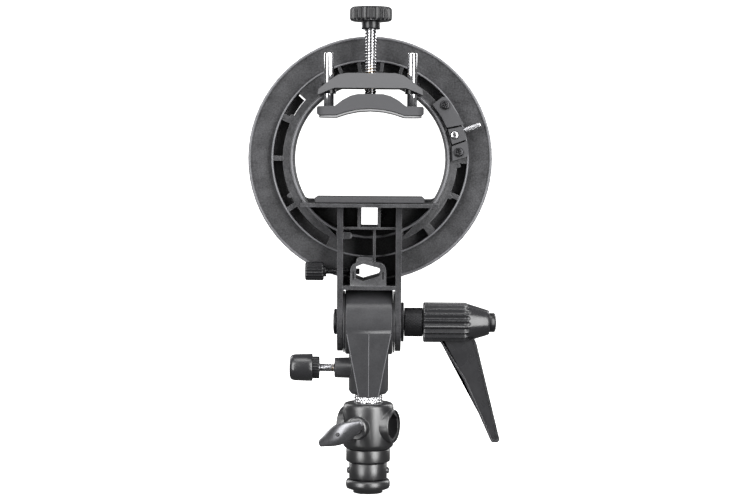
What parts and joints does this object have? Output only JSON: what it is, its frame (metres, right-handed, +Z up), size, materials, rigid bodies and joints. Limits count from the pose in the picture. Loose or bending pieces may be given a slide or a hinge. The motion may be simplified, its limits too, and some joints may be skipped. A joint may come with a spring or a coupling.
{
  "type": "umbrella swivel bracket",
  "caption": "Round flash bracket with a screw clamp, umbrella hole and bayonet face, on a lever-locked tilt head and swivel spigot in a cast stand head.",
  "frame": {"origin": "centre of the riser tube's foot, on the swivel axis", "axes": "+Z up along the swivel axis, +Y towards the softbox side, +X towards the tilt lever"},
  "size_m": [0.156, 0.0738, 0.2976],
  "materials": {
    "black_abs": "moulded ABS with a fine spark-eroded grain",
    "glass_filled_nylon": "glass-filled nylon, grainy grey",
    "satin_nylon": "smooth satin nylon",
    "black_knob": "black semi-gloss plastic",
    "black_rubber": "matt rubber",
    "grey_rubber": "matt light grey rubber",
    "chrome": "bright chrome plate",
    "zinc_steel": "zinc-plated steel",
    "satin_casting": "satin die-cast alloy",
    "brass": "turned brass",
    "black_enamel": "glossy black enamel",
    "black_steel": "blackened steel"
  },
  "bodies": {
    "stand_head": {"head_casting": "black_enamel", "socket_bush_right": "black_enamel", "socket_bush_left": "black_enamel", "head_collar": "black_enamel", "head_sleeve": "black_enamel", "bottom_bead": "black_enamel", "riser_tube": "black_enamel", "cross_rivet": "chrome", "spigot": "chrome"},
    "wing_tip": {"wing_tip": "brass"},
    "wing_screw": {"wing_stud": "zinc_steel", "wing_handle": "satin_casting"},
    "tilt_block": {"tilt_block": "black_abs", "boss_insert": "brass", "friction_washer_left": "black_rubber", "friction_washer_right": "black_rubber"},
    "stand_lock_tip": {"stand_lock_tip": "brass"},
    "stand_lock_screw": {"lock_stud": "zinc_steel", "lock_core": "black_knob", "lock_cap": "satin_nylon"},
    "frame": {"ring_frame": "black_abs", "mount_plate": "zinc_steel", "plate_screw_top": "black_steel", "plate_screw_left": "black_steel", "plate_screw_right": "black_steel", "base_pad": "black_rubber", "clamp_bridge": "glass_filled_nylon", "bridge_screw_left": "black_steel", "bridge_screw_right": "black_steel", "clamp_insert": "brass", "guide_bush_left": "black_knob", "guide_bush_right": "black_knob", "latch_cover_upper": "satin_nylon", "latch_cover_lower": "satin_nylon", "cover_screw_upper": "black_steel", "cover_screw_lower": "black_steel", "pivot_bolt": "black_steel", "ear_washer": "black_steel"},
    "umbrella_tip": {"umbrella_tip": "black_steel"},
    "umbrella_screw": {"umbrella_stud": "black_steel", "umbrella_knob": "black_knob"},
    "jaw": {"clamp_jaw": "satin_nylon", "jaw_pad": "grey_rubber", "guide_pin_left": "chrome", "guide_pin_right": "chrome"},
    "clamp_screw": {"clamp_screw": "zinc_steel", "clamp_knob": "black_knob"},
    "lever_core": {"ratchet_sleeve": "black_steel", "lever_cap": "black_knob"},
    "lever": {"lever_handle": "satin_nylon", "lever_spring": "zinc_steel"},
    "latch": {"latch_slider": "satin_nylon", "latch_handle_pin": "zinc_steel", "latch_screw": "chrome", "lock_pin": "zinc_steel", "latch_spring": "zinc_steel"}
  },
  "joints": [
    {"name": "pan_swivel", "type": "hinge", "parent": "stand_head", "child": "tilt_block", "pos_m": [0, 0, 0.0601], "axis": [0, 0, 1], "continuous": true},
    {"name": "tilt", "type": "hinge", "parent": "tilt_block", "child": "frame", "pos_m": [0, 0, 0.1057], "axis": [1, 0, 0], "range_deg": [-90, 90]},
    {"name": "jaw_slide", "type": "slide", "parent": "frame", "child": "jaw", "axis": [0, 0, 1], "range_m": [-0.018, 0.003]},
    {"name": "clamp_screw_turn", "type": "hinge", "parent": "jaw", "child": "clamp_screw", "pos_m": [0, -0.014, 0.2842], "axis": [0, 0, 1], "range_deg": [-5186, 866]},
    {"name": "umbrella_tip_slide", "type": "slide", "parent": "frame", "child": "umbrella_tip", "axis": [1, 0, 0], "range_m": [-0.002, 0.005]},
    {"name": "umbrella_knob_turn", "type": "hinge", "parent": "umbrella_tip", "child": "umbrella_screw", "pos_m": [-0.0264, -0.0065, 0.1372], "axis": [1, 0, 0], "range_deg": [-1030, 2573]},
    {"name": "stand_lock_slide", "type": "slide", "parent": "tilt_block", "child": "stand_lock_tip", "axis": [1, 0, 0], "range_m": [-0.008, 0]},
    {"name": "stand_lock_turn", "type": "hinge", "parent": "stand_lock_tip", "child": "stand_lock_screw", "pos_m": [-0.0304, 0, 0.0772], "axis": [1, 0, 0], "range_deg": [-2882, 0]},
    {"name": "wing_slide", "type": "slide", "parent": "stand_head", "child": "wing_tip", "axis": [0.3907, 0.9205, 0], "range_m": [-0.006, 0]},
    {"name": "wing_turn", "type": "hinge", "parent": "wing_tip", "child": "wing_screw", "pos_m": [-0.01563, -0.03682, 0.0418], "axis": [0.3907, 0.9205, 0], "range_deg": [-1730, 0]},
    {"name": "lever_turn", "type": "hinge", "parent": "frame", "child": "lever_core", "pos_m": [0.033, 0, 0.1057], "axis": [1, 0, 0], "range_deg": [0, 180]},
    {"name": "lever_lift", "type": "slide", "parent": "lever_core", "child": "lever", "axis": [1, 0, 0], "range_m": [0, 0.004], "stiffness_N_per_m": 800, "springref_m": -0.003, "deforming": ["lever_spring"]},
    {"name": "latch_slide", "type": "slide", "parent": "frame", "child": "latch", "axis": [0, -1, 0], "range_m": [0, 0.0035], "stiffness_N_per_m": 500, "springref_m": -0.003, "deforming": ["latch_spring"]}
  ],
  "couplings": [
    {"joint": "clamp_screw_turn", "follows": "jaw_slide", "rad_per_m": 5026.5},
    {"joint": "umbrella_knob_turn", "follows": "umbrella_tip_slide", "rad_per_m": 8976},
    {"joint": "stand_lock_turn", "follows": "stand_lock_slide", "rad_per_m": 6283.2},
    {"joint": "wing_turn", "follows": "wing_slide", "rad_per_m": 5026.5}
  ]
}
